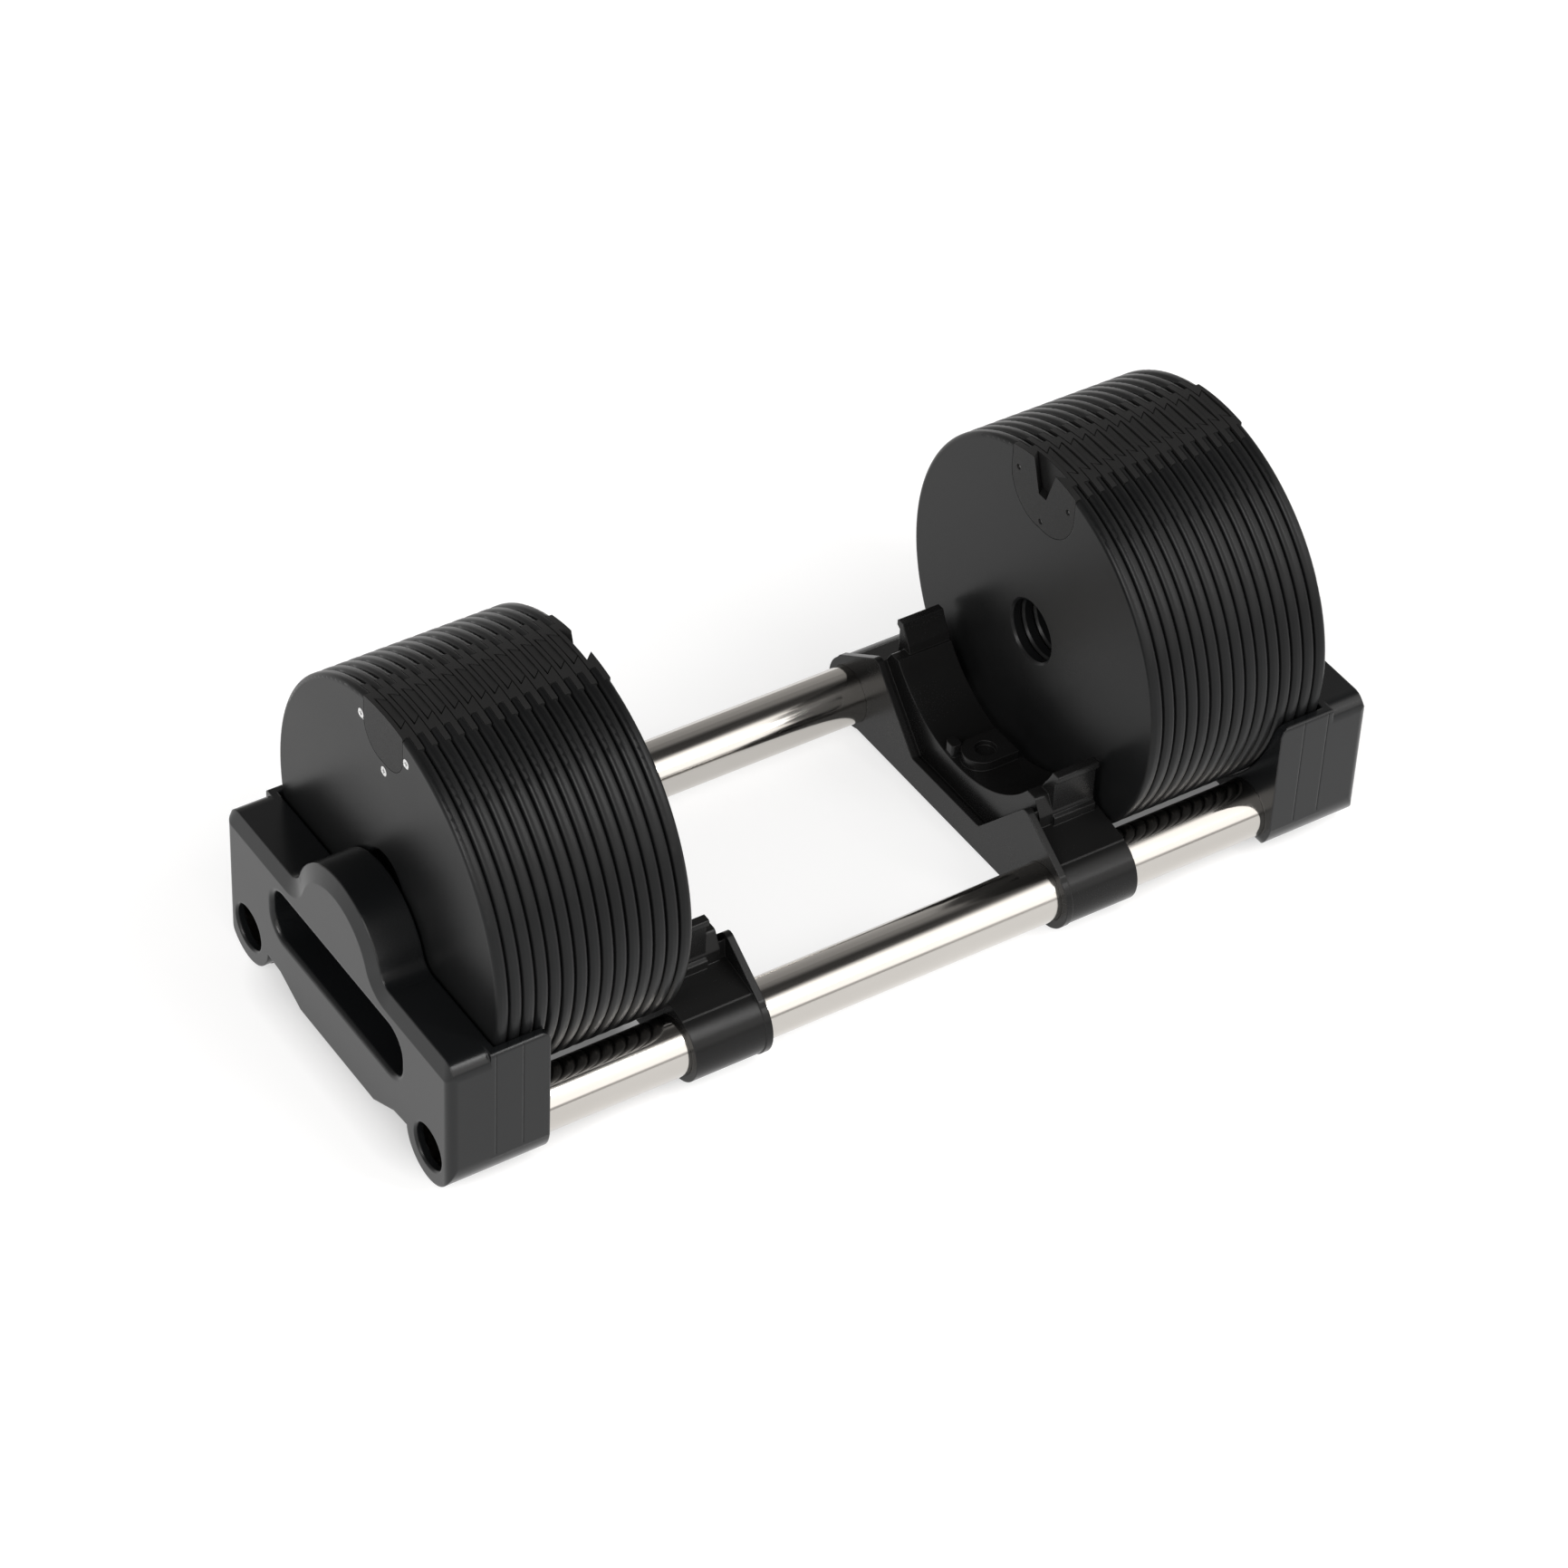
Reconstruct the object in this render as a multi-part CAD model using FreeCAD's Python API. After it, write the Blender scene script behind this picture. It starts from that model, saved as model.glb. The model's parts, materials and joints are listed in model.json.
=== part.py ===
import FreeCAD, Part
import math
import os

# Two stacks of steel plates rest in a cradle of two tubes and four moulded brackets.
# Millimetres, +Z up, origin on the floor under the middle of the cradle.
# +X runs from the left stack to the right stack, -Y is the near side.
# Everything is modelled on the right (+X) and mirrored to the left.

# Stacks
AXIS_Z = 87.2
PLATE_COUNT = 15
PLATE_RADIUS = 84.75
PLATE_THICKNESS = 5.45
PLATE_PITCH = 5.75
STACK_INNER_X = 107.1
RIM_ROUND = 2.2
BORE_RADIUS = 13.7
BORE_CHAMFER = 1.0

# Coupling insert, let into the rim of each plate; depths are measured from its inner face
FLANGE_HALF_WIDTH = 21.5
FLANGE_BOTTOM = 53.5
FLANGE_CORNER = 18.8
FLANGE_DEPTH = 2.75
WEB_HALF_WIDTH = 14.7
WEB_BOTTOM = 61.0
WEB_CORNER = 12.0
INSERT_GAP = 0.16
POCKET_DEPTH = 3.6
POCKET_BOTTOM = 69.3
POCKET_MOUTH_LOW = 2.4
POCKET_MOUTH_HIGH = 7.2
DOVETAIL_FLARE = 3.2
WEDGE_DEPTH = 3.4
WEDGE_FLARE = 3.0
WEDGE_INSET = 0.57
WEDGE_BOTTOM = 69.7
WEDGE_TOP = 84.2
ABOVE_RIM = 90.0

# Screws that hold each insert, from the outer face; heights are above the stack axis
SCREW_PLACES = ((-17.0, 73.0), (17.0, 73.0), (0.0, 56.8))
SCREW_HEAD_RADIUS = 2.0
SCREW_HEAD_DEPTH = 1.1
SCREW_SHANK_RADIUS = 1.1
SCREW_HOLE_RADIUS = 1.2
SCREW_TIP = 0.9
CROSS_LENGTH = 2.4
CROSS_WIDTH = 0.55
CROSS_DEPTH = 0.7

# Cradle tubes
TUBE_Y = 71.2
TUBE_Z = 17.9
TUBE_RADIUS = 12.7
TUBE_WALL = 1.5
TUBE_END_X = 212.0
TUBE_GAP = 0.05

# End brackets
HALF_WIDTH = 87.5
END_OUTER_X = 215.8
END_BLOCK_X = 194.5
END_WING_X = 171.5
SEAT_RADIUS = 85.35
BLOCK_TOP = 70.7
BLOCK_CORNER = 7.0
FACE_CORNER = 4.0
UPRIGHT_EDGE = 4.0
BEVEL_DEPTH = 2.4
BEVEL_WIDTH = 7.4
HUMP_CENTRE_Z = 64.3
HUMP_RADIUS = 33.6
HUMP_FILLET = 8.0
UNDER_Z = 7.7
UNDER_HALF_WIDTH = 29.0
RAMP_END = (45.0, 15.2)
NOTCH_Z = 16.2
LOBE_RADIUS = 16.3
WING_TOP_CORNER = 4.0
WING_LOW_CORNER = 8.0
WING_EDGE = 1.5
SLOT_HALF_LENGTH = 51.0
SLOT_LOW = 33.2
SLOT_HIGH = 57.5
SLOT_CORNER = 10.0
SLOT_EDGE = 2.2
TUBE_VIEW_RADIUS = 9.9
TUBE_VIEW_CHAMFER = 0.8
PARTING_X = (183.0, 195.0)
PARTING_WIDTH = 0.4
PARTING_DEPTH = 0.3

# Open pockets in the underside of the end brackets
RIB_POCKET_COUNT = 3
RIB_POCKET_LENGTH = 15.5
RIB_POCKET_ROOF = 29.5
RIB_THICKNESS = 3.0
MOULD_WALL = 3.0

# Inner brackets
INNER_BAY_X = 70.0
INNER_STEP_X = 73.0
TROUGH_FRONT_X = 76.0
INNER_SEAT_END_X = 102.5
INNER_COLLAR_END_X = 105.0
COLLAR_RADIUS = 15.9
COLLAR_RING_RADIUS = 16.3
TROUGH_RADIUS = 59.5
INNER_UNDER_Z = 2.9
CELL_ROOF = 22.0
CELL_RIB_Y = (-47.0, -17.0, -14.0, 14.0, 17.0, 47.0)

# Half outlines of the inner bracket as (y, z, corner radius), down to the tube
BAY_WALL_VALLEY = (24.5, 16.7, 3.0)
BAY_WALL_SHOULDER = (54.2, 49.2, 3.5)
BAY_WALL_SLOPE_END = (80.6, 32.2, 3.0)
BAY_WALL_SIDE = (84.8, 26.0, 0)
STEP_VALLEY = (26.5, 14.2, 0)
STEP_SHOULDER = (55.0, 45.6, 0)
TROUGH_SHOULDER = (52.4, 50.6, 2.0)
TROUGH_SIDE_TOP = (56.6, 43.0, 1.0)
TROUGH_SIDE_FOOT = (56.6, 30.0, 0)
COLLAR_SHOULDER_TOP = (56.0, 37.4, 0)
COLLAR_SHOULDER_END = (75.8, 33.6, 0.3)

# Tabs on the edges of the trough, each with two ribs round a recessed panel
TAB_X = (82.5, 102.5)
TAB_RIB_Y = 58.2
TAB_PANEL_Y = 56.2
TAB_INNER_Y = 53.0
TAB_TOP = 62.6
TAB_UPPER_RIB_LOW = 59.6
TAB_LOWER_RIB_TOP = 41.0
TAB_LOWER_RIB_LOW = 38.0
TAB_RIB_SLOPE = 1.2
TAB_FOOT = 32.0
TAB_ROOT_Y = 40.0

# Post that trips the handle's lock, on the floor of the trough
POST_HALF_WIDTH = 8.5
POST_FRONT_X = 78.5
POST_BACK_X = 100.0
POST_TOP = 32.6
POST_FOOT = 24.0
POST_CUP_X = 89.0
POST_CUP_RADIUS = 4.6
POST_CUP_DEPTH = 2.4
NIB_X = (76.6, 81.4)
NIB_Y = (5.6, 11.4)
NIB_TOP = 34.0
NIB_EDGE = 1.5

# Screws that hold the brackets to the tubes, from below
CRADLE_SCREW_X = (91.0, 183.0)
CRADLE_HEAD_RADIUS = 3.3
CRADLE_HEAD_LOW = 2.3
CRADLE_HEAD_HIGH = 4.4
CRADLE_SHANK_RADIUS = 1.9
CRADLE_SHANK_TOP = 10.0
CRADLE_SCREW_GAP = 0.1
CRADLE_CROSS_LENGTH = 4.0
CRADLE_CROSS_WIDTH = 0.9
CRADLE_CROSS_DEPTH = 1.3

# Foot pads
PAD_X = (193.0, 211.0)
PAD_HALF_WIDTH = 6.0
PAD_CORNER = 3.0
PAD_TOP = 3.4

MARGIN = 5.0


def vector(x, y, z):
    return FreeCAD.Vector(x, y, z)


ALONG_X = vector(1, 0, 0)
ALONG_Z = vector(0, 0, 1)
ORIGIN = vector(0, 0, 0)


def on_x(x):
    """Places an outline's (y, z) on the plane at x."""
    return lambda y, z: vector(x, y, z)


def on_y(y):
    """Places an outline's (x, z) on the plane at y."""
    return lambda x, z: vector(x, y, z)


def on_z(z):
    """Places an outline's (x, y) on the plane at z."""
    return lambda x, y: vector(x, y, z)


def rounded_wire(corners, place):
    """Closed wire through (a, b, radius) corners, each one rounded by a tangent arc."""
    points = [vector(a, b, 0) for a, b, _ in corners]
    runs = []
    for index, (_, _, radius) in enumerate(corners):
        here = points[index]
        back = (points[index - 1] - here).normalize()
        ahead = (points[(index + 1) % len(points)] - here).normalize()
        half_angle = back.getAngle(ahead) / 2
        reach = radius / math.tan(half_angle)
        depth = radius / math.sin(half_angle) - radius
        middle = here + (back + ahead).normalize() * depth
        runs.append((here + back * reach, middle, here + ahead * reach, radius))
    edges = []
    for index, (start, middle, end, radius) in enumerate(runs):
        spots = [place(spot.x, spot.y) for spot in (start, middle, end)]
        if radius > 0:
            edges.append(Part.Arc(*spots).toShape())
        following = runs[(index + 1) % len(runs)][0]
        if end.distanceToPoint(following) > 1e-6:
            edges.append(Part.makeLine(spots[2], place(following.x, following.y)))
    return Part.Wire(edges)


def mirrored(half):
    """Corners of a half outline on the +Y side, carried round to the -Y side."""
    return half + [(-a, b, radius) for a, b, radius in reversed(half)]


def prism_x(corners, x_low, x_high):
    face = Part.Face(rounded_wire(corners, on_x(x_low)))
    return face.extrude(vector(x_high - x_low, 0, 0))


def rod_x(radius, x_low, x_high, y=0.0, z=AXIS_Z):
    return Part.makeCylinder(radius, x_high - x_low, vector(x_low, y, z), ALONG_X)


def block(x_range, y_range, z_range):
    size = [high - low for low, high in (x_range, y_range, z_range)]
    return Part.makeBox(*size, vector(x_range[0], y_range[0], z_range[0]))


def fuse_all(shapes):
    return shapes[0].multiFuse(shapes[1:]).removeSplitter()


def cut_all(shape, tools):
    return shape.cut(tools).removeSplitter()


def single(shape):
    """The one solid that a boolean leaves inside its compound."""
    return shape.Solids[0]


def to_left(shape):
    return shape.mirror(ORIGIN, ALONG_X)


# Plates

def u_slug(half_width, bottom, corner, gap, x_low, x_high):
    """A U-shaped slug, open upward past the rim, between two depths of a plate."""
    side = half_width + gap
    low = AXIS_Z + bottom - gap
    high = AXIS_Z + ABOVE_RIM
    corners = [(side, low, corner + gap), (side, high, 0), (-side, high, 0), (-side, low, corner + gap)]
    return prism_x(corners, x_low, x_high)


def key_half_width(height):
    """Half the V's width at the mouth of the pocket, at a height above the stack axis."""
    rim_height = math.sqrt(PLATE_RADIUS**2 - POCKET_MOUTH_HIGH**2)
    slope = (POCKET_MOUTH_HIGH - POCKET_MOUTH_LOW) / (rim_height - POCKET_BOTTOM)
    return POCKET_MOUTH_LOW + slope * (height - POCKET_BOTTOM)


def dovetail(x_mouth, x_tip, low, high, inset, flare):
    """A V-shaped dovetail that widens upward, and widens by the flare from its mouth to its tip."""
    def section(x, extra):
        half_low = key_half_width(low) - inset + extra
        half_high = key_half_width(high) - inset + extra
        corners = [
            (half_low, AXIS_Z + low, 0),
            (half_high, AXIS_Z + high, 0),
            (-half_high, AXIS_Z + high, 0),
            (-half_low, AXIS_Z + low, 0),
        ]
        return rounded_wire(corners, on_x(x))

    return Part.makeLoft([section(x_mouth, 0), section(x_tip, flare)], True, True)


def insert_seat():
    """What the steel disc leaves free for its insert: a wide flange inside, a narrow web outside."""
    flange = u_slug(FLANGE_HALF_WIDTH, FLANGE_BOTTOM, FLANGE_CORNER, INSERT_GAP, -MARGIN, FLANGE_DEPTH + INSERT_GAP)
    web = u_slug(WEB_HALF_WIDTH, WEB_BOTTOM, WEB_CORNER, INSERT_GAP, 0, PLATE_THICKNESS + MARGIN)
    return fuse_all([flange, web])


def countersink(y, height, head_radius, shank_radius, x_face, x_tip):
    """A screw's body: its head flush with the face at x_face, its tip at x_tip."""
    z = AXIS_Z + height
    head = Part.makeCone(
        shank_radius, head_radius, SCREW_HEAD_DEPTH, vector(x_face - SCREW_HEAD_DEPTH, y, z), ALONG_X
    )
    return head.fuse(rod_x(shank_radius, x_tip, x_face - SCREW_HEAD_DEPTH, y, z))


def steel_disc():
    disc = rod_x(PLATE_RADIUS, 0, PLATE_THICKNESS)
    disc = disc.makeFillet(RIM_ROUND, [edge for edge in disc.Edges if len(edge.Vertexes) == 1])
    tools = [rod_x(BORE_RADIUS, -MARGIN, PLATE_THICKNESS + MARGIN), insert_seat()]
    for x_wide, x_narrow in ((0, BORE_CHAMFER), (PLATE_THICKNESS, PLATE_THICKNESS - BORE_CHAMFER)):
        along = vector(x_narrow - x_wide, 0, 0)
        tools.append(
            Part.makeCone(BORE_RADIUS + BORE_CHAMFER, BORE_RADIUS, BORE_CHAMFER, vector(x_wide, 0, AXIS_Z), along)
        )
    for y, height in SCREW_PLACES:
        head_radius = SCREW_HEAD_RADIUS + INSERT_GAP
        tools.append(countersink(y, height, head_radius, SCREW_HOLE_RADIUS, PLATE_THICKNESS, 0))
    return single(disc.cut(tools))


def coupling_insert(with_wedge):
    """The moulded insert: flange, web, the pocket on its inner face and the wedge on its outer face."""
    flange = u_slug(FLANGE_HALF_WIDTH, FLANGE_BOTTOM, FLANGE_CORNER, 0, 0, FLANGE_DEPTH)
    web = u_slug(WEB_HALF_WIDTH, WEB_BOTTOM, WEB_CORNER, 0, 0, PLATE_THICKNESS)
    insert = flange.fuse(web)
    if with_wedge:
        x_tip = PLATE_THICKNESS + WEDGE_DEPTH
        insert = insert.fuse(dovetail(PLATE_THICKNESS, x_tip, WEDGE_BOTTOM, WEDGE_TOP, WEDGE_INSET, WEDGE_FLARE))
    insert = insert.common(rod_x(PLATE_RADIUS, -MARGIN, PLATE_THICKNESS + MARGIN))
    tools = [dovetail(0, POCKET_DEPTH, POCKET_BOTTOM, ABOVE_RIM, 0, DOVETAIL_FLARE)]
    for y, height in SCREW_PLACES:
        tools.append(rod_x(SCREW_HOLE_RADIUS, -MARGIN, FLANGE_DEPTH + MARGIN, y, AXIS_Z + height))
    return single(cut_all(insert, tools))


def cross_recess(length, width, depth, place, along_x):
    """Two crossed slots, sunk into a screw head at a place, along X or upward."""
    half = length / 2
    slots = []
    for wide, narrow in ((half, width / 2), (width / 2, half)):
        if along_x:
            slots.append(block((place.x - depth, place.x + depth), (place.y - wide, place.y + wide),
                               (place.z - narrow, place.z + narrow)))
        else:
            slots.append(block((place.x - wide, place.x + wide), (place.y - narrow, place.y + narrow),
                               (place.z - depth, place.z + depth)))
    return slots


def insert_screws():
    screws = []
    for y, height in SCREW_PLACES:
        screw = countersink(y, height, SCREW_HEAD_RADIUS, SCREW_SHANK_RADIUS, PLATE_THICKNESS, SCREW_TIP)
        face = vector(PLATE_THICKNESS, y, AXIS_Z + height)
        screws.append(single(screw.cut(cross_recess(CROSS_LENGTH, CROSS_WIDTH, CROSS_DEPTH, face, True))))
    return screws


# End brackets

def both_sides(half):
    """Curve pieces of a half outline on the +Y side, then their mirror images back down the -Y side."""
    return half + [[(-y, z) for y, z in reversed(piece)] for piece in reversed(half)]


def curve_wire(x, pieces):
    """Closed wire on the plane at x: a piece of two points is a line, one of three is an arc."""
    edges = []
    for piece in pieces:
        spots = [vector(x, y, z) for y, z in piece]
        edges.append(Part.makeLine(*spots) if len(spots) == 2 else Part.Arc(*spots).toShape())
    return Part.Wire(edges)


def on_circle(centre_y, centre_z, radius, degrees):
    angle = math.radians(degrees)
    return (centre_y + radius * math.cos(angle), centre_z + radius * math.sin(angle))


def block_outline(x, inset, corner):
    """The end bracket's outline, seen along X, with its top edge and hump drawn in by the inset."""
    top = BLOCK_TOP - inset
    hump = HUMP_RADIUS - inset
    fillet = HUMP_FILLET + inset
    fillet_z = top + fillet
    fillet_y = math.sqrt((hump + fillet)**2 - (fillet_z - HUMP_CENTRE_Z)**2)
    meet_angle = math.degrees(math.atan2(fillet_z - HUMP_CENTRE_Z, fillet_y))
    lobe_start_y = TUBE_Y - math.sqrt(LOBE_RADIUS**2 - (NOTCH_Z - TUBE_Z)**2)
    side_corner = (HALF_WIDTH - corner, top - corner)
    down = 270
    fillet_middle = (down + 180 + meet_angle) / 2
    apex = 90
    half = [
        [(0, UNDER_Z), (UNDER_HALF_WIDTH, UNDER_Z)],
        [(UNDER_HALF_WIDTH, UNDER_Z), RAMP_END],
        [RAMP_END, (lobe_start_y, NOTCH_Z)],
        [(lobe_start_y, NOTCH_Z), on_circle(TUBE_Y, TUBE_Z, LOBE_RADIUS, down), (HALF_WIDTH, TUBE_Z)],
        [(HALF_WIDTH, TUBE_Z), (HALF_WIDTH, top - corner)],
        [(HALF_WIDTH, top - corner), on_circle(*side_corner, corner, apex / 2), (HALF_WIDTH - corner, top)],
        [(HALF_WIDTH - corner, top), (fillet_y, top)],
        [
            (fillet_y, top),
            on_circle(fillet_y, fillet_z, fillet, fillet_middle),
            on_circle(0, HUMP_CENTRE_Z, hump, meet_angle),
        ],
        [
            on_circle(0, HUMP_CENTRE_Z, hump, meet_angle),
            on_circle(0, HUMP_CENTRE_Z, hump, (apex + meet_angle) / 2),
            on_circle(0, HUMP_CENTRE_Z, hump, apex),
        ],
    ]
    return curve_wire(x, both_sides(half))


def end_block():
    """The upright block outside the stack, bevelled round its top edge and its hump."""
    shoulder_x = END_OUTER_X - BEVEL_DEPTH
    body = Part.Face(block_outline(END_BLOCK_X, 0, BLOCK_CORNER)).extrude(vector(shoulder_x - END_BLOCK_X, 0, 0))
    shoulder = block_outline(shoulder_x, 0, BLOCK_CORNER)
    face = block_outline(END_OUTER_X, BEVEL_WIDTH, FACE_CORNER)
    return body.fuse(Part.makeLoft([shoulder, face], True, True))


def end_wings():
    """The two cheeks that reach in round the outer plates; the stack's seat is cut from them."""
    low = TUBE_Z - LOBE_RADIUS
    across = mirrored([(HALF_WIDTH, NOTCH_Z, 0), (HALF_WIDTH, BLOCK_TOP, WING_EDGE)])
    across_body = prism_x(across, END_WING_X, END_BLOCK_X + MOULD_WALL)
    lobes = [rod_x(LOBE_RADIUS, END_WING_X, END_BLOCK_X + MOULD_WALL, side * TUBE_Y, TUBE_Z) for side in (-1, 1)]
    wings = fuse_all([across_body] + lobes)
    side_view = [
        (END_WING_X, low, WING_LOW_CORNER),
        (END_BLOCK_X + MARGIN, low, 0),
        (END_BLOCK_X + MARGIN, BLOCK_TOP, 0),
        (END_WING_X, BLOCK_TOP, WING_TOP_CORNER),
    ]
    side_prism = Part.Face(rounded_wire(side_view, on_y(-HALF_WIDTH - MARGIN)))
    side_prism = side_prism.extrude(vector(0, 2 * (HALF_WIDTH + MARGIN), 0))
    return wings.common(side_prism)


def upright_rounding():
    """The plan outline, whose two outer corners round the block's upright edges."""
    plan = mirrored([(HALF_WIDTH, END_WING_X - MARGIN, 0), (HALF_WIDTH, END_OUTER_X, UPRIGHT_EDGE)])
    corners = [(x, y, radius) for y, x, radius in plan]
    height = HUMP_CENTRE_Z + HUMP_RADIUS + MARGIN
    return Part.Face(rounded_wire(corners, on_z(0))).extrude(vector(0, 0, height))


def carry_slot(x_low, x_high, grow):
    side = SLOT_HALF_LENGTH + grow
    low = SLOT_LOW - grow
    high = SLOT_HIGH + grow
    corner = SLOT_CORNER + grow
    corners = [(side, low, corner), (side, high, corner), (-side, high, corner), (-side, low, corner)]
    return prism_x(corners, x_low, x_high)


def slot_edge_loft():
    """The flare that softens the slot's edge on the outer face."""
    def section(x, grow):
        side = SLOT_HALF_LENGTH + grow
        corner = SLOT_CORNER + grow
        corners = mirrored([(side, SLOT_LOW - grow, corner), (side, SLOT_HIGH + grow, corner)])
        return rounded_wire(corners, on_x(x))

    steps = []
    for degrees in range(0, 91, 15):
        angle = math.radians(degrees)
        x = END_OUTER_X - SLOT_EDGE * (1 - math.sin(angle))
        steps.append(section(x, SLOT_EDGE * (1 - math.cos(angle))))
    return Part.makeLoft(steps, True, True)


def parting_grooves():
    grooves = []
    for x in PARTING_X:
        for side in (-1, 1):
            y_values = sorted((side * (HALF_WIDTH - PARTING_DEPTH), side * (HALF_WIDTH + MARGIN)))
            grooves.append(block((x, x + PARTING_WIDTH), y_values, (TUBE_Z, BLOCK_TOP + MARGIN)))
    return grooves


def underside_pockets():
    """Open cells under the carry slot, parted by ribs."""
    cells = []
    pitch = RIB_POCKET_LENGTH + RIB_THICKNESS
    first = -(RIB_POCKET_COUNT - 1) / 2
    for index in range(RIB_POCKET_COUNT):
        middle = (first + index) * pitch
        y_range = (middle - RIB_POCKET_LENGTH / 2, middle + RIB_POCKET_LENGTH / 2)
        x_range = (END_BLOCK_X + MOULD_WALL, END_OUTER_X - MOULD_WALL)
        cells.append(block(x_range, y_range, (0, RIB_POCKET_ROOF)))
    return cells


def tube_sockets(x_low, x_high):
    radius = TUBE_RADIUS + TUBE_GAP
    return [rod_x(radius, x_low, x_high, side * TUBE_Y, TUBE_Z) for side in (-1, 1)]


def tube_view_holes():
    """The round holes in the outer face, through which the ends of the tubes show."""
    tools = []
    for side in (-1, 1):
        y = side * TUBE_Y
        tools.append(rod_x(TUBE_VIEW_RADIUS, TUBE_END_X - MARGIN, END_OUTER_X + MARGIN, y, TUBE_Z))
        start = vector(END_OUTER_X - TUBE_VIEW_CHAMFER, y, TUBE_Z)
        wide = TUBE_VIEW_RADIUS + TUBE_VIEW_CHAMFER
        tools.append(Part.makeCone(TUBE_VIEW_RADIUS, wide, TUBE_VIEW_CHAMFER, start, ALONG_X))
    return tools


def end_bracket():
    bracket = end_block().fuse(end_wings()).common(upright_rounding())
    tools = [rod_x(SEAT_RADIUS, END_WING_X - MARGIN, END_BLOCK_X)]
    tools.append(carry_slot(END_BLOCK_X - MARGIN, END_OUTER_X + MARGIN, 0))
    tools.append(slot_edge_loft())
    tools += tube_sockets(END_WING_X - MARGIN, TUBE_END_X)
    tools += tube_view_holes()
    tools += parting_grooves()
    tools += underside_pockets()
    tools += cradle_screw_holes(CRADLE_SCREW_X[1])
    tools += [pad_block(side, 0) for side in (-1, 1)]
    return single(cut_all(bracket, tools))


# Inner brackets

def bay_wall():
    """The thin wall that faces the bay: a valley between two shoulders that fall away to the tubes."""
    corners = mirrored([
        BAY_WALL_VALLEY,
        BAY_WALL_SHOULDER,
        BAY_WALL_SLOPE_END,
        BAY_WALL_SIDE,
        (TUBE_Y, INNER_UNDER_Z, 0),
    ])
    return prism_x(corners, INNER_BAY_X, INNER_STEP_X)


def low_step():
    """The low step that joins the bay wall to the trough, under the edges of both."""
    corners = mirrored([STEP_VALLEY, STEP_SHOULDER, TROUGH_SIDE_FOOT, (TUBE_Y, INNER_UNDER_Z, 0)])
    return prism_x(corners, INNER_STEP_X, TROUGH_FRONT_X)


def trough_body():
    """The body that carries the trough, with hollows underneath."""
    corners = mirrored([
        TROUGH_SHOULDER,
        TROUGH_SIDE_TOP,
        TROUGH_SIDE_FOOT,
        (TUBE_Y, INNER_UNDER_Z, 0),
    ])
    return prism_x(corners, TROUGH_FRONT_X, INNER_SEAT_END_X).cut(trough_cells())


def trough_cells():
    """The hollows under the trough, open at the bottom and parted by two ribs."""
    x_range = (TROUGH_FRONT_X + MOULD_WALL, INNER_SEAT_END_X - MOULD_WALL)
    y_ranges = zip(CELL_RIB_Y[::2], CELL_RIB_Y[1::2])
    return [block(x_range, y_range, (0, CELL_ROOF)) for y_range in y_ranges]


def tab(side):
    """An upright tab on the trough's edge, with two ribs round a recessed panel on its outer face."""
    corners = [
        (TAB_RIB_Y, TAB_TOP, 1.0),
        (TAB_RIB_Y, TAB_UPPER_RIB_LOW, 0.5),
        (TAB_PANEL_Y, TAB_UPPER_RIB_LOW - TAB_RIB_SLOPE, 0.5),
        (TAB_PANEL_Y, TAB_LOWER_RIB_TOP + TAB_RIB_SLOPE, 0.5),
        (TAB_RIB_Y, TAB_LOWER_RIB_TOP, 0.5),
        (TAB_RIB_Y, TAB_LOWER_RIB_LOW, 0),
        (TAB_PANEL_Y, TAB_FOOT, 0),
        (TAB_ROOT_Y, TAB_FOOT, 0),
        (TAB_INNER_Y, TAB_TOP, 0.8),
    ]
    return prism_x([(side * y, z, radius) for y, z, radius in corners], *TAB_X)


def collar(side):
    """The sleeve round a tube, with a ring at the bay wall and a flat shoulder up to the tab."""
    y = side * TUBE_Y
    sleeve = rod_x(COLLAR_RADIUS, INNER_BAY_X, INNER_COLLAR_END_X, y, TUBE_Z)
    ring = rod_x(COLLAR_RING_RADIUS, INNER_BAY_X, INNER_STEP_X, y, TUBE_Z)
    corners = [COLLAR_SHOULDER_TOP, COLLAR_SHOULDER_END, (TUBE_Y, TUBE_Z, 0), (COLLAR_SHOULDER_TOP[0], TUBE_Z, 0)]
    shoulder = prism_x([(side * a, b, radius) for a, b, radius in corners], INNER_STEP_X, INNER_COLLAR_END_X)
    return fuse_all([sleeve, ring, shoulder])


def lock_post():
    """The low post on the trough's floor that frees the handle's selector when the handle is set down."""
    middle_x = POST_FRONT_X + POST_HALF_WIDTH
    height = POST_TOP - POST_FOOT
    nose = Part.makeCylinder(POST_HALF_WIDTH, height, vector(middle_x, 0, POST_FOOT), ALONG_Z)
    body = block((middle_x, POST_BACK_X), (-POST_HALF_WIDTH, POST_HALF_WIDTH), (POST_FOOT, POST_TOP))
    cup = Part.makeCylinder(
        POST_CUP_RADIUS, POST_CUP_DEPTH, vector(POST_CUP_X, 0, POST_TOP - POST_CUP_DEPTH), ALONG_Z
    )
    return fuse_all([nose, body, lock_nib()]).cut(cup)


def lock_nib():
    """The small upright nib beside the post's nose."""
    nib = block(NIB_X, NIB_Y, (POST_FOOT, NIB_TOP))
    upright = [edge for edge in nib.Edges if edge.BoundBox.ZLength > NIB_TOP - POST_FOOT - NIB_EDGE]
    return nib.makeFillet(NIB_EDGE, upright)


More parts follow.
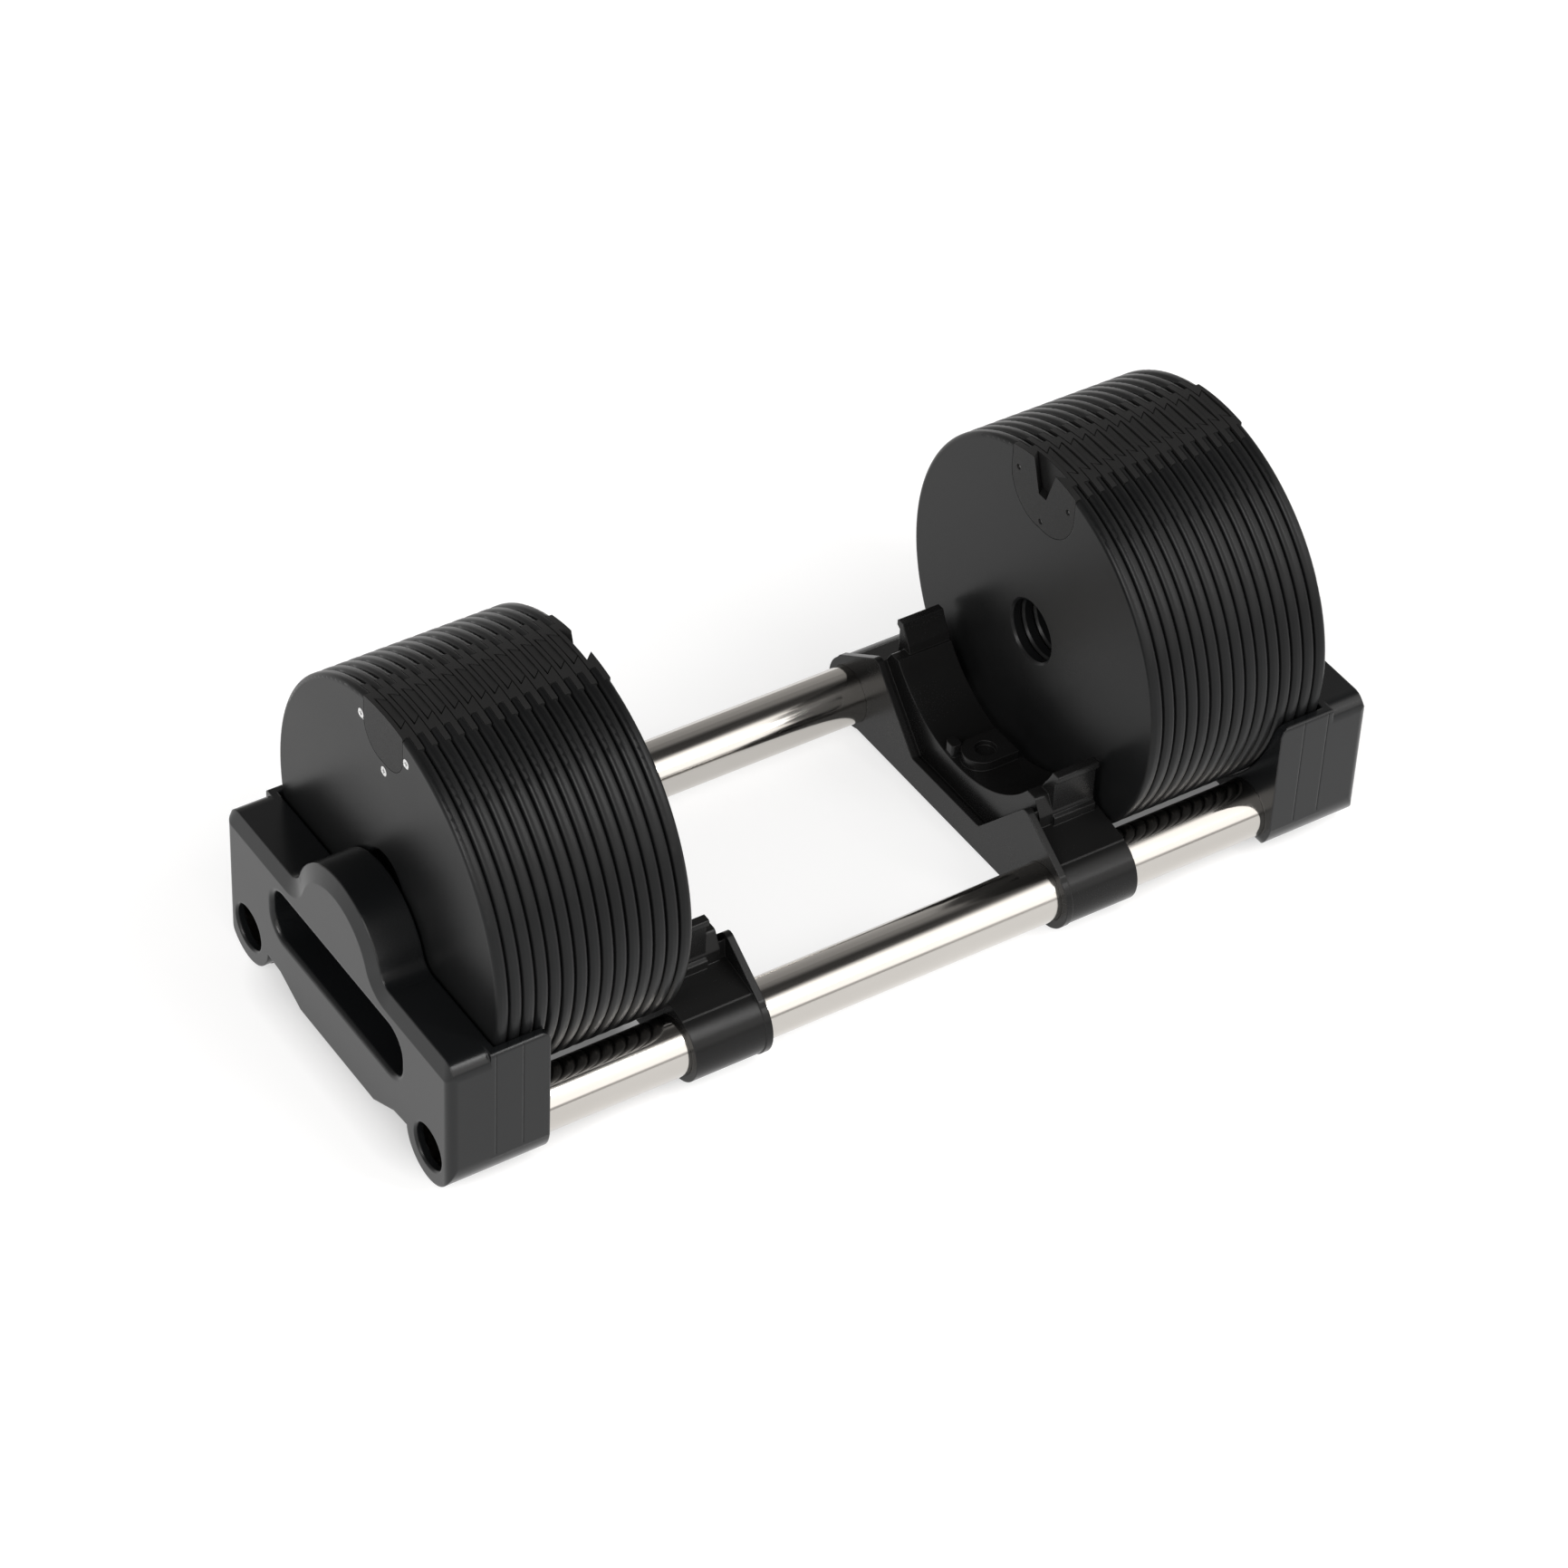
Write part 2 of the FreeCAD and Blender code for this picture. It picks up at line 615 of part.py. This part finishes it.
def inner_bracket():
    trough = rod_x(TROUGH_RADIUS, INNER_STEP_X, INNER_COLLAR_END_X + MARGIN)
    seat = fuse_all([trough_body(), tab(-1), tab(1)]).cut(trough)
    whole = fuse_all([bay_wall(), low_step(), collar(-1), collar(1), seat, lock_post()])
    tools = tube_sockets(INNER_BAY_X - MARGIN, INNER_COLLAR_END_X + MARGIN)
    tools += cradle_screw_holes(CRADLE_SCREW_X[0])
    return single(cut_all(whole, tools))


# Tubes, screws and pads

def tube(side):
    y = side * TUBE_Y
    outside = rod_x(TUBE_RADIUS, -TUBE_END_X, TUBE_END_X, y, TUBE_Z)
    bore = rod_x(TUBE_RADIUS - TUBE_WALL, -TUBE_END_X - MARGIN, TUBE_END_X + MARGIN, y, TUBE_Z)
    holes = []
    for x in CRADLE_SCREW_X:
        for x_signed in (-x, x):
            place = vector(x_signed, y, 0)
            holes.append(Part.makeCylinder(CRADLE_SHANK_RADIUS + CRADLE_SCREW_GAP, CRADLE_SHANK_TOP, place, ALONG_Z))
    return single(outside.cut([bore] + holes))


def cradle_screw_holes(x):
    """Counterbored holes for the two screws that hold a bracket to its tubes."""
    holes = []
    for side in (-1, 1):
        place = vector(x, side * TUBE_Y, 0)
        shank = Part.makeCylinder(CRADLE_SHANK_RADIUS + CRADLE_SCREW_GAP, CRADLE_SHANK_TOP, place, ALONG_Z)
        head = Part.makeCylinder(CRADLE_HEAD_RADIUS + CRADLE_SCREW_GAP, CRADLE_HEAD_HIGH, place, ALONG_Z)
        holes.append(shank.fuse(head))
    return holes


def cradle_screw(x, side):
    y = side * TUBE_Y
    head_height = CRADLE_HEAD_HIGH - CRADLE_HEAD_LOW
    head = Part.makeCylinder(CRADLE_HEAD_RADIUS, head_height, vector(x, y, CRADLE_HEAD_LOW), ALONG_Z)
    shank_length = CRADLE_SHANK_TOP - CRADLE_HEAD_LOW
    shank = Part.makeCylinder(CRADLE_SHANK_RADIUS, shank_length, vector(x, y, CRADLE_HEAD_LOW), ALONG_Z)
    place = vector(x, y, CRADLE_HEAD_LOW)
    slots = cross_recess(CRADLE_CROSS_LENGTH, CRADLE_CROSS_WIDTH, CRADLE_CROSS_DEPTH, place, False)
    return single(head.fuse(shank).cut(slots))


def pad_block(side, low):
    """A rounded slab under a foot; the bracket has the same slab cut out of it."""
    y = side * TUBE_Y
    corners = [
        (PAD_X[0], y - PAD_HALF_WIDTH, PAD_CORNER),
        (PAD_X[1], y - PAD_HALF_WIDTH, PAD_CORNER),
        (PAD_X[1], y + PAD_HALF_WIDTH, PAD_CORNER),
        (PAD_X[0], y + PAD_HALF_WIDTH, PAD_CORNER),
    ]
    return Part.Face(rounded_wire(corners, on_z(low))).extrude(vector(0, 0, PAD_TOP - low))


def save(name, shape):
    shape.exportStep(os.path.join("parts", name + ".step"))
    print(name, len(shape.Solids), "solids", round(shape.Volume / 1000, 2), "cm3", shape.isValid())


def save_pair(name, shape):
    save(name.format("right"), shape)
    save(name.format("left"), to_left(shape))


def save_plates():
    disc = steel_disc()
    insert = coupling_insert(True)
    last_insert = coupling_insert(False)
    screws = insert_screws()
    for number in range(1, PLATE_COUNT + 1):
        move = vector(STACK_INNER_X + (number - 1) * PLATE_PITCH, 0, 0)
        first = number == 1
        last = number == PLATE_COUNT
        solids = [disc]
        if first:
            save_pair("coupling_{}_inner", insert.translated(move))
        elif last:
            save_pair("coupling_{}_outer", last_insert.translated(move))
        else:
            solids.append(insert)
        if last:
            save_pair("screws_{}_outer", Part.makeCompound(screws).translated(move))
        else:
            solids += screws
        save_pair("plate_{}_" + f"{number:02d}", Part.makeCompound(solids).translated(move))


def main():
    os.makedirs("parts", exist_ok=True)
    save("tube_near", tube(-1))
    save("tube_far", tube(1))
    save_pair("end_bracket_{}", end_bracket())
    save_pair("inner_bracket_{}", inner_bracket())
    pads = [pad_block(side, 0) for side in (-1, 1)]
    save("foot_pads", Part.makeCompound(pads + [to_left(pad) for pad in pads]))
    screws = [cradle_screw(x, side) for x in CRADLE_SCREW_X for side in (-1, 1)]
    save("bracket_screws", Part.makeCompound(screws + [to_left(screw) for screw in screws]))
    save_plates()


main()
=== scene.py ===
import json
import math

import bpy
from mathutils import Matrix, Vector


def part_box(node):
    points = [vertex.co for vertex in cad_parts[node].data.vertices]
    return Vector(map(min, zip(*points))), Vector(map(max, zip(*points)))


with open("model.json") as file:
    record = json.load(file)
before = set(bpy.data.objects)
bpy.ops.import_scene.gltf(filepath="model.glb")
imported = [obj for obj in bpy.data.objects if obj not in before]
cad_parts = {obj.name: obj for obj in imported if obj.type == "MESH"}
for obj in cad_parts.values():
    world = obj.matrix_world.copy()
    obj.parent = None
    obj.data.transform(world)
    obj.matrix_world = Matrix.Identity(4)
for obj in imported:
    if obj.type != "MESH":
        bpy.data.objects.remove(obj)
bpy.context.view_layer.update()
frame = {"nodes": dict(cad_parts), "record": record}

MM = 0.001

# The floor, and how strongly it glows
FLOOR_HALF_SIZE = 15.0
FLOOR_GLOW = 0.69

# Painted shadow: under each stack the floor glows less, as it would in the stack's shadow
SHADE_GLOW = 0.15
SHADE_REACH = 40 * MM
SHADE_HALF_LENGTH = 38 * MM
SHADE_HALF_WIDTH = 45 * MM
STACK_X = 150 * MM

# The stacks: which way each lies along X, and the height of the plates' axis
SIDES = {"left": -1, "right": 1}
AXIS_Z = sum(corner.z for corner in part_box("plate_right_01")) / 2

# An insert is a wide flange at the plate's inner face and a narrower web behind it, each a U that opens
# upward. Depths run outward from the inner face, and heights upward from the plate's axis.
PLATE_THICKNESS = 5.45 * MM
FLANGE_HALF_WIDTH = 21.5 * MM
FLANGE_BOTTOM = 53.5 * MM
FLANGE_CORNER = 18.8 * MM
FLANGE_DEPTH = 2.75 * MM
WEB_HALF_WIDTH = 14.7 * MM
WEB_BOTTOM = 61.0 * MM
WEB_CORNER = 12.0 * MM
SEAT_TOLERANCE = 0.04 * MM

# An insert's screws: where they stand as (y, height), and how far their faces reach from that line
SCREW_PLACES = ((-17.0 * MM, 73.0 * MM), (17.0 * MM, 73.0 * MM), (0.0, 56.8 * MM))
SCREW_REACH = 1.15 * MM
SCREW_HEAD_REACH = 2.04 * MM
SCREW_HEAD_DEPTH = 1.15 * MM

# The order of a plate's materials
STEEL, INSERT, SCREW = range(3)

# The edge mask starts and is full where the rounded and the true normal agree this much, as a dot product
EDGE_START = 0.995
EDGE_FULL = 0.82

# Brightness of the room by the height of a direction, as (sine of elevation, value)
FAR_STOPS = ((0.0, 0.55), (0.4, 0.42), (0.8, 0.28), (0.88, 0.05))
NEAR_STOPS = ((0.0, 0.30), (0.10, 0.32), (0.18, 1.0), (0.82, 1.0), (0.89, 0.03))
NEAR_STRENGTH = 1.9
ROOM_WARMTH = 0.02
BACKDROP_VALUE = 0.9

# The far side turns into the near side between these values of a direction's Y
FAR_SIDE_Y = 0.1
NEAR_SIDE_Y = -0.25

# Rectangular lights, aimed at the middle of the floor: name, place and size in metres, watts
LIGHTS = (
    ("softbox", (0.9, -1.5, 2.0), (0.25, 1.8), 16.0),
    ("side", (-2.4, -0.9, 1.6), (0.4, 1.4), 26.0),
)

# Camera: its place in metres, its turns in degrees, its lens and sensor in millimetres
CAMERA_PLACE = (-0.9303, -1.3310, 1.4722)
CAMERA_HEADING = 55.356
CAMERA_DOWN = 41.180
CAMERA_ROLL = 2.880
CAMERA_LENS = 123.37
CAMERA_SENSOR = 36.0


# Node helpers

def new_material(name):
    """A material with a node tree; returns it with its shader."""
    material = bpy.data.materials.new(name)
    material.use_nodes = True
    return material, material.node_tree.nodes["Principled BSDF"]


def fill(tree, node, inputs):
    """Sets or links a node's inputs, named by key or by number."""
    for key, value in inputs.items():
        socket = node.inputs[key]
        if isinstance(value, bpy.types.NodeSocket):
            tree.links.new(value, socket)
        else:
            socket.default_value = value


def add(tree, kind, inputs=None, **settings):
    """Adds a node, sets its options, and sets or links its inputs."""
    node = tree.nodes.new(kind)
    for key, value in settings.items():
        setattr(node, key, value)
    fill(tree, node, inputs or {})
    return node


def grey(value, warmth=0.0):
    return (value * (1 + warmth), value, value * (1 - warmth), 1)


def place(tree, scale=(1, 1, 1)):
    """Object coordinates, stretched."""
    coordinates = add(tree, "ShaderNodeTexCoord").outputs["Object"]
    return add(tree, "ShaderNodeMapping", {"Vector": coordinates, "Scale": scale}).outputs[0]


def noise(tree, vector, scale, detail=3.0, roughness=0.55):
    inputs = {"Vector": vector, "Scale": scale, "Detail": detail, "Roughness": roughness}
    return add(tree, "ShaderNodeTexNoise", inputs).outputs["Fac"]


def remap(tree, value, low, high, to_low, to_high):
    inputs = {"Value": value, "From Min": low, "From Max": high, "To Min": to_low, "To Max": to_high}
    return add(tree, "ShaderNodeMapRange", inputs).outputs["Result"]


def blend(tree, factor, first, second):
    node = add(tree, "ShaderNodeMix", data_type="RGBA")
    fill(tree, node, {0: factor, 6: first, 7: second})
    return node.outputs[2]


def maths(tree, operation, first, second=0.0):
    return add(tree, "ShaderNodeMath", {0: first, 1: second}, operation=operation).outputs[0]


def edge_mask(tree, radius):
    """A mask that rises to 1 along edges, where a rounded normal leaves the true one, and that normal."""
    rounded = add(tree, "ShaderNodeBevel", {"Radius": radius}, samples=6).outputs[0]
    true = add(tree, "ShaderNodeNewGeometry").outputs["Normal"]
    product = add(tree, "ShaderNodeVectorMath", {0: rounded, 1: true}, operation="DOT_PRODUCT")
    return remap(tree, product.outputs["Value"], EDGE_START, EDGE_FULL, 0.0, 1.0), rounded


def bump(tree, height, strength, distance, normal=None):
    node = add(tree, "ShaderNodeBump", {"Height": height, "Strength": strength, "Distance": distance})
    if normal is not None:
        tree.links.new(normal, node.inputs["Normal"])
    return node.outputs[0]


# Materials

def powder_coat():
    """Satin black powder coat over steel: fine orange peel, a little paler along the edges, partly scuffs and
    partly a painted highlight.
    """
    material, shader = new_material("plate_powder_coat")
    tree = material.node_tree
    spot = place(tree)
    edge_wear_and_painted_light, rounded = edge_mask(tree, 0.35 * MM)
    patches = noise(tree, spot, 24.0, 4.0)
    peel = noise(tree, spot, 900.0, 2.0)
    grain = noise(tree, spot, 3200.0, 1.0)
    mottle = remap(tree, patches, 0.3, 0.7, 0.0, 1.0)
    base = blend(tree, mottle, grey(0.005, -0.04), grey(0.008, -0.04))
    scuffs_and_painted_highlight = maths(tree, "MULTIPLY", edge_wear_and_painted_light, remap(tree, patches, 0.35, 0.7, 0.25, 0.9))
    # Paler edge colour: partly scuffs, partly a painted highlight along the rims and edges
    colour = blend(tree, scuffs_and_painted_highlight, base, grey(0.018, -0.02))
    roughness = remap(tree, maths(tree, "ADD", patches, grain), 0.6, 1.4, 0.27, 0.38)
    height = maths(tree, "ADD", maths(tree, "MULTIPLY", peel, 0.6), maths(tree, "MULTIPLY", grain, 0.4))
    fill(tree, shader, {
        "Base Color": colour,
        "Roughness": roughness,
        "Specular IOR Level": 0.17,
        "Normal": bump(tree, height, 0.15, 0.03 * MM, rounded),
    })
    return material


def coupling_plastic():
    """Matt moulded plastic with a fine spark-eroded texture, darker and duller along the edges as a painted
    shade for the gaps around the insert.
    """
    material, shader = new_material("coupling_plastic")
    tree = material.node_tree
    spot = place(tree)
    edge_wear_and_painted_light, rounded = edge_mask(tree, 0.3 * MM)
    texture = noise(tree, spot, 2200.0, 3.0)
    patches = noise(tree, spot, 60.0, 3.0)
    base = blend(tree, patches, grey(0.009), grey(0.014))
    fill(tree, shader, {
        # Painted shade: darker colour and less reflection along the edges, standing in for the shade in the
        # gaps around the insert
        "Base Color": blend(tree, edge_wear_and_painted_light, base, grey(0.003)),
        "Roughness": remap(tree, texture, 0.3, 0.7, 0.45, 0.58),
        "Specular IOR Level": remap(tree, edge_wear_and_painted_light, 0.1, 0.7, 0.22, 0.0),
        "Normal": bump(tree, texture, 0.35, 0.05 * MM, rounded),
    })
    return material


def bracket_plastic():
    """Satin black moulding of the end brackets, with a fine grain and polished edges that are paler, partly
    wear and partly a painted highlight.
    """
    material, shader = new_material("bracket_plastic")
    tree = material.node_tree
    spot = place(tree)
    edge_wear_and_painted_light, rounded = edge_mask(tree, 1.0 * MM)
    grain = noise(tree, spot, 1700.0, 3.0)
    patches = noise(tree, spot, 14.0, 4.0)
    base = blend(tree, patches, grey(0.004, -0.08), grey(0.008, -0.08))
    # Paler edge colour: partly wear, partly a painted highlight along the edges
    colour = blend(tree, maths(tree, "MULTIPLY", edge_wear_and_painted_light, 0.6), base, grey(0.02, -0.03))
    rough = remap(tree, maths(tree, "ADD", patches, grain), 0.6, 1.4, 0.18, 0.27)
    fill(tree, shader, {
        "Base Color": colour,
        "Roughness": maths(tree, "SUBTRACT", rough, maths(tree, "MULTIPLY", edge_wear_and_painted_light, 0.08)),
        "Specular IOR Level": 0.32,
        "Normal": bump(tree, grain, 0.15, 0.03 * MM, rounded),
    })
    return material


def inner_bracket_plastic():
    """Smooth black moulding of the inner brackets, with faint flow marks and paler edges, partly wear and
    partly a painted highlight.
    """
    material, shader = new_material("inner_bracket_plastic")
    tree = material.node_tree
    edge_wear_and_painted_light, rounded = edge_mask(tree, 0.7 * MM)
    flow = noise(tree, place(tree, (0.3, 1.0, 1.0)), 40.0, 4.0)
    grain = noise(tree, place(tree), 1500.0, 2.0)
    base = blend(tree, flow, grey(0.006), grey(0.010))
    fill(tree, shader, {
        # Paler edge colour: partly wear, partly a painted highlight along the edges
        "Base Color": blend(tree, edge_wear_and_painted_light, base, grey(0.018)),
        "Roughness": remap(tree, maths(tree, "ADD", flow, grain), 0.6, 1.4, 0.2, 0.3),
        "Specular IOR Level": 0.17,
        "Normal": bump(tree, maths(tree, "ADD", flow, grain), 0.05, 0.03 * MM, rounded),
    })
    return material


def tube_chrome():
    """Polished chrome, with faint draw lines along the tube and a warm tint."""
    material, shader = new_material("tube_chrome")
    tree = material.node_tree
    lines = noise(tree, place(tree, (0.02, 1.0, 1.0)), 1800.0, 3.0)
    smear = noise(tree, place(tree, (0.25, 1.0, 1.0)), 35.0, 4.0)
    fill(tree, shader, {
        "Base Color": blend(tree, smear, (0.50, 0.475, 0.445, 1), (0.58, 0.56, 0.53, 1)),
        "Metallic": 1.0,
        "Roughness": remap(tree, maths(tree, "ADD", lines, smear), 0.7, 1.3, 0.07, 0.16),
        "Normal": bump(tree, lines, 0.08, 0.02 * MM),
    })
    return material


def screw_steel():
    """Bright zinc-plated steel with fine marks."""
    material, shader = new_material("screw_steel")
    tree = material.node_tree
    marks = noise(tree, place(tree), 2600.0, 3.0)
    fill(tree, shader, {
        "Base Color": blend(tree, marks, grey(0.62), grey(0.85)),
        "Metallic": 0.9,
        "Roughness": remap(tree, marks, 0.3, 0.7, 0.3, 0.5),
        "Normal": bump(tree, marks, 0.2, 0.03 * MM),
    })
    return material


def pad_rubber():
    """Matt black rubber with a dusty bloom."""
    material, shader = new_material("pad_rubber")
    tree = material.node_tree
    spot = place(tree)
    bloom = noise(tree, spot, 180.0, 4.0)
    fill(tree, shader, {
        "Base Color": blend(tree, bloom, grey(0.012), grey(0.03)),
        "Roughness": remap(tree, bloom, 0.3, 0.7, 0.7, 0.9),
        "Normal": bump(tree, noise(tree, spot, 1400.0, 2.0), 0.4, 0.08 * MM),
    })
    return material


def stack_distance(tree, spot):
    """How far a place on the floor lies from the patch of painted shadow under the nearer stack."""
    axes = add(tree, "ShaderNodeSeparateXYZ", {0: spot}).outputs
    outward = maths(tree, "ABSOLUTE", axes["X"])
    along = maths(tree, "ABSOLUTE", maths(tree, "SUBTRACT", outward, STACK_X))
    across = maths(tree, "ABSOLUTE", axes["Y"])
    beyond_x = maths(tree, "MAXIMUM", maths(tree, "SUBTRACT", along, SHADE_HALF_LENGTH), 0.0)
    beyond_y = maths(tree, "MAXIMUM", maths(tree, "SUBTRACT", across, SHADE_HALF_WIDTH), 0.0)
    square = maths(tree, "ADD", maths(tree, "POWER", beyond_x, 2.0), maths(tree, "POWER", beyond_y, 2.0))
    return maths(tree, "SQRT", square)


def floor_material():
    """Pale studio floor, lit mostly from within so that only soft shadows show, with a painted shadow under
    each stack where it glows less.
    """
    material, shader = new_material("studio_floor")
    tree = material.node_tree
    spot = place(tree)
    patches = noise(tree, spot, 3.0, 2.0)
    distance = stack_distance(tree, spot)
    fill(tree, shader, {
        "Base Color": blend(tree, patches, grey(0.40), grey(0.42)),
        "Roughness": 0.9,
        "Specular IOR Level": 0.0,
        "Emission Color": grey(1.0),
        # Painted shadow: the glow drops from FLOOR_GLOW to SHADE_GLOW near the patch under each stack
        "Emission Strength": remap(tree, distance, 0.0, SHADE_REACH, SHADE_GLOW, FLOOR_GLOW),
    })
    return material


# Painting the CAD nodes

def inside_slug(y, height, half_width, bottom, corner):
    """Whether a point lies in the U that opens upward, seen along X."""
    across = abs(y) - (half_width - corner)
    below = (bottom + corner) - height
    if across <= 0:
        return height > bottom - SEAT_TOLERANCE
    if below <= 0:
        return abs(y) < half_width + SEAT_TOLERANCE
    return math.hypot(across, below) < corner + SEAT_TOLERANCE


def plate_part(centre, inner_x, sign):
    """Which of a plate's materials a face takes, from where its centre lies."""
    depth = (centre.x - inner_x) * sign
    height = centre.z - AXIS_Z
    beside_head = depth > PLATE_THICKNESS - SCREW_HEAD_DEPTH
    reach = SCREW_HEAD_REACH if beside_head else SCREW_REACH
    for screw_y, screw_height in SCREW_PLACES:
        if math.hypot(centre.y - screw_y, height - screw_height) < reach:
            return SCREW
    if depth < FLANGE_DEPTH + SEAT_TOLERANCE:
        slug = (FLANGE_HALF_WIDTH, FLANGE_BOTTOM, FLANGE_CORNER)
    else:
        slug = (WEB_HALF_WIDTH, WEB_BOTTOM, WEB_CORNER)
    return INSERT if inside_slug(centre.y, height, *slug) else STEEL


def paint_plate(node, sign, materials):
    """Gives a plate's mesh its three materials, face by face."""
    mesh = node.data
    for material in materials:
        mesh.materials.append(material)
    low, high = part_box(node.name)
    inner_x = low.x if sign > 0 else high.x
    for polygon in mesh.polygons:
        polygon.material_index = plate_part(polygon.center, inner_x, sign)


def paint_nodes():
    looks = {
        "plate_steel": powder_coat(),
        "coupling_plastic": coupling_plastic(),
        "bracket_plastic": bracket_plastic(),
        "inner_bracket_plastic": inner_bracket_plastic(),
        "tube_chrome": tube_chrome(),
        "screw_steel": screw_steel(),
        "pad_rubber": pad_rubber(),
    }
    slots = {entry["node"]: entry["material_slot"] for entry in frame["record"]["subparts"]}
    for name, node in frame["nodes"].items():
        node.data.materials.clear()
        if slots[name] == "plate_steel":
            side = name.split("_")[1]
            plate_looks = [looks["plate_steel"], looks["coupling_plastic"], looks["screw_steel"]]
            paint_plate(node, SIDES[side], plate_looks)
        else:
            node.data.materials.append(looks[slots[name]])


# Studio

def make_floor():
    mesh = bpy.data.meshes.new("floor")
    corners = [(x * FLOOR_HALF_SIZE, y * FLOOR_HALF_SIZE, 0) for x, y in ((-1, -1), (1, -1), (1, 1), (-1, 1))]
    mesh.from_pydata(corners, [], [(0, 1, 2, 3)])
    floor = bpy.data.objects.new("floor", mesh)
    bpy.context.scene.collection.objects.link(floor)
    floor.data.materials.append(floor_material())


def make_light(name, spot, size, watts):
    """A rectangular light that looks at the middle of the floor."""
    light = bpy.data.lights.new(name, "AREA")
    light.shape = "RECTANGLE"
    light.size, light.size_y = size
    light.energy = watts
    lamp = bpy.data.objects.new(name, light)
    lamp.location = spot
    lamp.rotation_euler = (-Vector(spot)).to_track_quat("-Z", "Y").to_euler()
    bpy.context.scene.collection.objects.link(lamp)


def wall(tree, height, stops):
    """One side of the room, shaded by height."""
    ramp = add(tree, "ShaderNodeValToRGB", {0: height})
    elements = ramp.color_ramp.elements
    while len(elements) < len(stops):
        elements.new(0.5)  # Its own place is set below
    for element, (position, value) in zip(elements, stops):
        element.position = position
        element.color = grey(value, ROOM_WARMTH)
    return ramp.outputs[0]


def make_world():
    """A room with a bright near side and a grey far side; a camera sees a pale backdrop instead."""
    world = bpy.data.worlds.new("studio")
    bpy.context.scene.world = world
    world.use_nodes = True
    tree = world.node_tree
    tree.nodes.clear()
    direction = add(tree, "ShaderNodeTexCoord").outputs["Generated"]
    axes = add(tree, "ShaderNodeSeparateXYZ", {0: direction}).outputs
    nearness = remap(tree, axes["Y"], FAR_SIDE_Y, NEAR_SIDE_Y, 0.0, 1.0)
    sides = blend(tree, nearness, wall(tree, axes["Z"], FAR_STOPS), wall(tree, axes["Z"], NEAR_STOPS))
    strength = remap(tree, nearness, 0.0, 1.0, 1.0, NEAR_STRENGTH)
    room = add(tree, "ShaderNodeBackground", {"Color": sides, "Strength": strength})
    backdrop = add(tree, "ShaderNodeBackground", {"Color": grey(BACKDROP_VALUE)})
    seen = add(tree, "ShaderNodeLightPath").outputs["Is Camera Ray"]
    mix = add(tree, "ShaderNodeMixShader", {0: seen, 1: room.outputs[0], 2: backdrop.outputs[0]})
    output = add(tree, "ShaderNodeOutputWorld")
    tree.links.new(mix.outputs[0], output.inputs[0])


def make_camera():
    """The camera, first turned level toward its heading, then tilted down and rolled."""
    camera_data = bpy.data.cameras.new("camera")
    camera_data.lens = CAMERA_LENS
    camera_data.sensor_width = CAMERA_SENSOR
    camera = bpy.data.objects.new("camera", camera_data)
    turn = Matrix.Rotation(math.radians(CAMERA_HEADING - 90), 4, "Z")
    tilt = Matrix.Rotation(math.radians(90 - CAMERA_DOWN), 4, "X")
    roll = Matrix.Rotation(math.radians(CAMERA_ROLL), 4, "Z")
    camera.matrix_world = Matrix.Translation(CAMERA_PLACE) @ turn @ tilt @ roll
    bpy.context.scene.collection.objects.link(camera)
    bpy.context.scene.camera = camera


def main():
    make_camera()
    make_world()
    make_floor()
    for name, spot, size, watts in LIGHTS:
        make_light(name, spot, size, watts)
    bpy.context.scene.view_settings.view_transform = "Standard"
    paint_nodes()


main()
